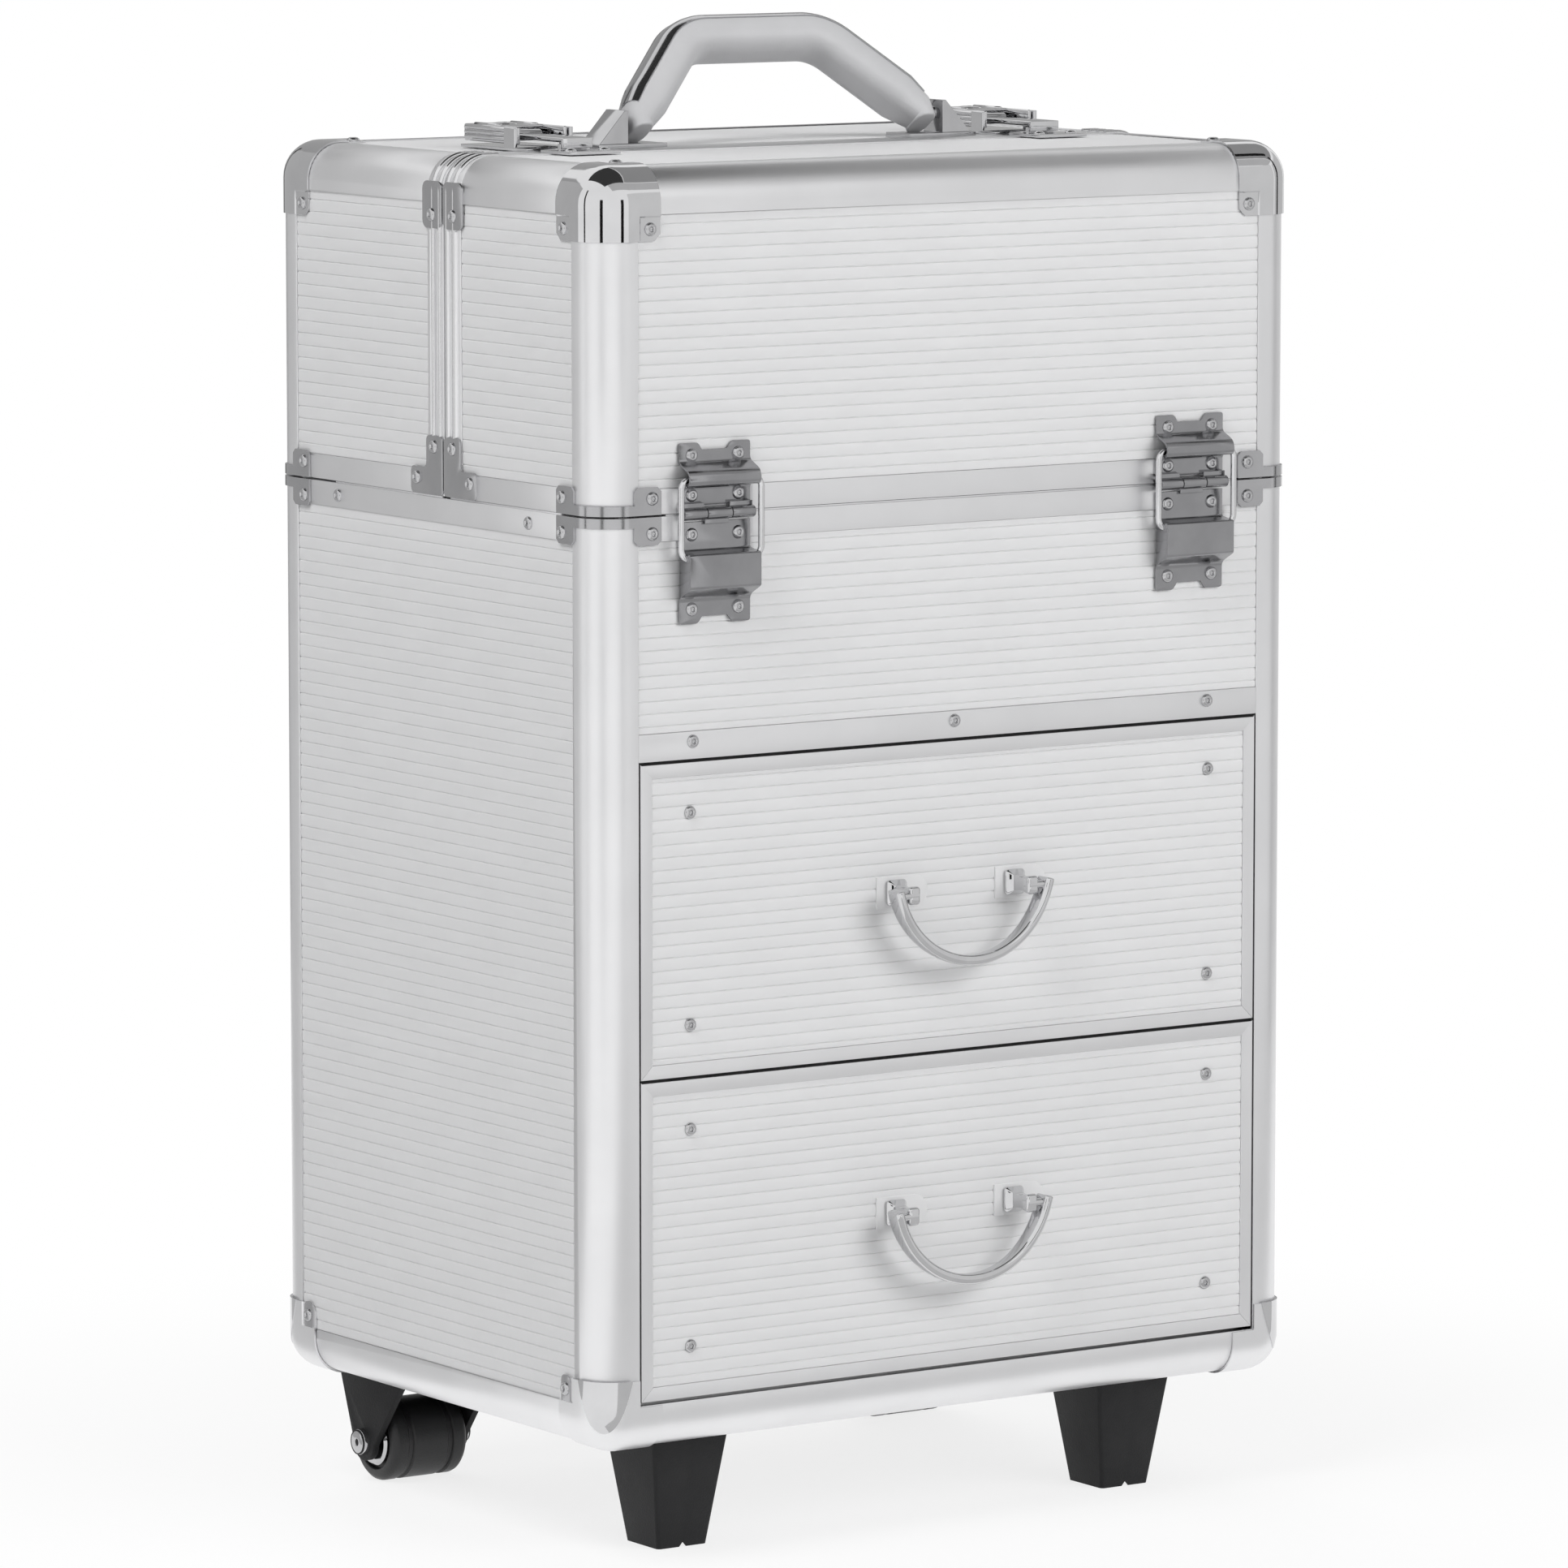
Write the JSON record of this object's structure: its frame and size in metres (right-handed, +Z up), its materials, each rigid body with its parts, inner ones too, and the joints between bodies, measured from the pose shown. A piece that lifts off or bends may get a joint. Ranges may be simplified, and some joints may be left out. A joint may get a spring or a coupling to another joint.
{
  "type": "rolling cosmetic case",
  "caption": "Upright rolling cosmetic case with ribbed silver panels, aluminium edges, split top lids over lift-out trays, drawers, carry handle, rear wheels and front feet.",
  "frame": {"origin": "centre of the bounding box at floor level", "axes": "+Z up, the drawers face -Y, +X to the right of a person facing the drawers' back along +Y"},
  "size_m": [0.3444, 0.2781, 0.6087],
  "materials": {
    "panel_board": "satin",
    "ribbed_skin": "satin",
    "edge_aluminium": "satin",
    "bright_plate": "polished",
    "hinge_steel": "polished",
    "black_plastic": "matte",
    "grip_plastic": "satin",
    "tray_plastic": "matte",
    "wheel_rubber": "matte",
    "box_wood": "matte"
  },
  "bodies": {
    "case": {"case_panels": "panel_board", "case_skins": "ribbed_skin", "case_edges": "edge_aluminium", "case_caps": "bright_plate", "case_rivets": "bright_plate", "front_feet": "black_plastic", "wheel_brackets": "black_plastic", "drawer_runners": "box_wood", "body_leaves": "hinge_steel", "tray_brackets": "hinge_steel", "pull_tubes": "edge_aluminium", "pull_brackets": "black_plastic"},
    "front_lid": {"front_lid_panels": "panel_board", "front_lid_skins": "ribbed_skin", "front_lid_edges": "edge_aluminium", "front_lid_caps": "bright_plate", "front_lid_rivets": "bright_plate", "front_lid_leaves": "hinge_steel", "front_lid_studs": "hinge_steel", "latch_keepers": "bright_plate"},
    "rear_lid": {"rear_lid_panels": "panel_board", "rear_lid_skins": "ribbed_skin", "rear_lid_edges": "edge_aluminium", "rear_lid_caps": "bright_plate", "rear_lid_rivets": "bright_plate", "rear_lid_leaves": "hinge_steel", "rear_lid_studs": "hinge_steel", "latch_bases": "bright_plate", "grip_brackets": "bright_plate"},
    "front_stay": {"front_rings": "bright_plate"},
    "rear_stay": {"rear_rings": "bright_plate"},
    "carry_handle": {"grip": "grip_plastic", "grip_spine": "bright_plate"},
    "left_latch": {"left_lever": "bright_plate"},
    "right_latch": {"right_lever": "bright_plate"},
    "left_hook": {"left_claw": "bright_plate"},
    "right_hook": {"right_claw": "bright_plate"},
    "upper_drawer": {"upper_box": "box_wood", "upper_front": "panel_board", "upper_skin": "ribbed_skin", "upper_posts": "bright_plate"},
    "upper_pull": {"upper_bail": "bright_plate"},
    "lower_drawer": {"lower_box": "box_wood", "lower_front": "panel_board", "lower_skin": "ribbed_skin", "lower_posts": "bright_plate"},
    "lower_pull": {"lower_bail": "bright_plate"},
    "left_roller": {"left_wheel": "wheel_rubber"},
    "right_roller": {"right_wheel": "wheel_rubber"},
    "pull_handle": {"inner_tubes": "edge_aluminium", "pull_grip": "black_plastic"},
    "front_upper_arm": {"front_upper_arms": "hinge_steel"},
    "front_upper_tray_body": {"front_upper_tray": "tray_plastic"},
    "front_lower_arm": {"front_lower_arms": "hinge_steel"},
    "front_lower_tray_body": {"front_lower_tray": "tray_plastic"},
    "rear_upper_arm": {"rear_upper_arms": "hinge_steel"},
    "rear_upper_tray_body": {"rear_upper_tray": "tray_plastic"},
    "rear_lower_arm": {"rear_lower_arms": "hinge_steel"},
    "rear_lower_tray_body": {"rear_lower_tray": "tray_plastic"}
  },
  "joints": [
    {"name": "front_lid_hinge", "type": "hinge", "parent": "case", "child": "front_lid", "pos_m": [0, -0.1255, 0.42], "axis": [1, 0, 0], "range_deg": [0, 90]},
    {"name": "rear_lid_hinge", "type": "hinge", "parent": "case", "child": "rear_lid", "pos_m": [0, 0.1255, 0.42], "axis": [1, 0, 0], "range_deg": [-90, 0]},
    {"name": "front_stay_swing", "type": "hinge", "parent": "front_lid", "child": "front_stay", "pos_m": [0, -0.128, 0.434], "axis": [1, 0, 0], "range_deg": [-62, 0]},
    {"name": "front_upper_arm_pivot", "type": "hinge", "parent": "case", "child": "front_upper_arm", "pos_m": [0, -0.1015, 0.43], "axis": [1, 0, 0], "range_deg": [0, 90]},
    {"name": "front_upper_tray_pivot", "type": "hinge", "parent": "front_upper_arm", "child": "front_upper_tray_body", "pos_m": [0, -0.0355, 0.494], "axis": [1, 0, 0], "range_deg": [-90, 0]},
    {"name": "front_lower_arm_pivot", "type": "hinge", "parent": "case", "child": "front_lower_arm", "pos_m": [0, -0.0775, 0.408], "axis": [1, 0, 0], "range_deg": [0, 90]},
    {"name": "front_lower_tray_pivot", "type": "hinge", "parent": "front_lower_arm", "child": "front_lower_tray_body", "pos_m": [0, -0.0415, 0.44], "axis": [1, 0, 0], "range_deg": [-90, 0]},
    {"name": "rear_stay_swing", "type": "hinge", "parent": "rear_lid", "child": "rear_stay", "pos_m": [0, 0.128, 0.434], "axis": [1, 0, 0], "range_deg": [0, 62]},
    {"name": "rear_upper_arm_pivot", "type": "hinge", "parent": "case", "child": "rear_upper_arm", "pos_m": [0, 0.1015, 0.43], "axis": [1, 0, 0], "range_deg": [-90, 0]},
    {"name": "rear_upper_tray_pivot", "type": "hinge", "parent": "rear_upper_arm", "child": "rear_upper_tray_body", "pos_m": [0, 0.0355, 0.494], "axis": [1, 0, 0], "range_deg": [0, 90]},
    {"name": "rear_lower_arm_pivot", "type": "hinge", "parent": "case", "child": "rear_lower_arm", "pos_m": [0, 0.0775, 0.408], "axis": [1, 0, 0], "range_deg": [-90, 0]},
    {"name": "rear_lower_tray_pivot", "type": "hinge", "parent": "rear_lower_arm", "child": "rear_lower_tray_body", "pos_m": [0, 0.0415, 0.44], "axis": [1, 0, 0], "range_deg": [0, 90]},
    {"name": "carry_handle_pivot", "type": "hinge", "parent": "rear_lid", "child": "carry_handle", "pos_m": [0, 0.004, 0.566], "axis": [1, 0, 0], "range_deg": [-41, 109]},
    {"name": "left_latch_pivot", "type": "hinge", "parent": "rear_lid", "child": "left_latch", "pos_m": [-0.115, 0.006, 0.562], "axis": [1, 0, 0], "range_deg": [0, 80]},
    {"name": "left_hook_pivot", "type": "hinge", "parent": "left_latch", "child": "left_hook", "pos_m": [-0.115, 0.016, 0.562], "axis": [1, 0, 0], "range_deg": [-105, 0]},
    {"name": "right_latch_pivot", "type": "hinge", "parent": "rear_lid", "child": "right_latch", "pos_m": [0.115, 0.006, 0.562], "axis": [1, 0, 0], "range_deg": [0, 80]},
    {"name": "right_hook_pivot", "type": "hinge", "parent": "right_latch", "child": "right_hook", "pos_m": [0.115, 0.016, 0.562], "axis": [1, 0, 0], "range_deg": [-105, 0]},
    {"name": "upper_drawer_slide", "type": "slide", "parent": "case", "child": "upper_drawer", "axis": [0, -1, 0], "range_m": [0, 0.18]},
    {"name": "lower_drawer_slide", "type": "slide", "parent": "case", "child": "lower_drawer", "axis": [0, -1, 0], "range_m": [0, 0.18]},
    {"name": "upper_pull_swing", "type": "hinge", "parent": "upper_drawer", "child": "upper_pull", "pos_m": [0, -0.1357, 0.26275], "axis": [-1, 0, 0], "range_deg": [0, 85]},
    {"name": "lower_pull_swing", "type": "hinge", "parent": "lower_drawer", "child": "lower_pull", "pos_m": [0, -0.1357, 0.133], "axis": [-1, 0, 0], "range_deg": [0, 85]},
    {"name": "left_wheel_spin", "type": "hinge", "parent": "case", "child": "left_roller", "pos_m": [-0.124, 0.094, 0.017], "axis": [1, 0, 0], "continuous": true},
    {"name": "right_wheel_spin", "type": "hinge", "parent": "case", "child": "right_roller", "pos_m": [0.124, 0.094, 0.017], "axis": [1, 0, 0], "continuous": true},
    {"name": "pull_handle_slide", "type": "slide", "parent": "case", "child": "pull_handle", "axis": [0, 0, 1], "range_m": [0, 0.24]}
  ],
  "couplings": [
    {"joint": "front_stay_swing", "follows": "front_lid_hinge", "ratio": -0.68},
    {"joint": "front_upper_arm_pivot", "follows": "front_lid_hinge", "ratio": 1},
    {"joint": "front_upper_tray_pivot", "follows": "front_lid_hinge", "ratio": -1},
    {"joint": "front_lower_arm_pivot", "follows": "front_lid_hinge", "ratio": 1},
    {"joint": "front_lower_tray_pivot", "follows": "front_lid_hinge", "ratio": -1},
    {"joint": "rear_stay_swing", "follows": "rear_lid_hinge", "ratio": -0.68},
    {"joint": "rear_upper_arm_pivot", "follows": "rear_lid_hinge", "ratio": 1},
    {"joint": "rear_upper_tray_pivot", "follows": "rear_lid_hinge", "ratio": -1},
    {"joint": "rear_lower_arm_pivot", "follows": "rear_lid_hinge", "ratio": 1},
    {"joint": "rear_lower_tray_pivot", "follows": "rear_lid_hinge", "ratio": -1},
    {"joint": "left_hook_pivot", "follows": "left_latch_pivot", "ratio": -1.3},
    {"joint": "right_hook_pivot", "follows": "right_latch_pivot", "ratio": -1.3}
  ]
}
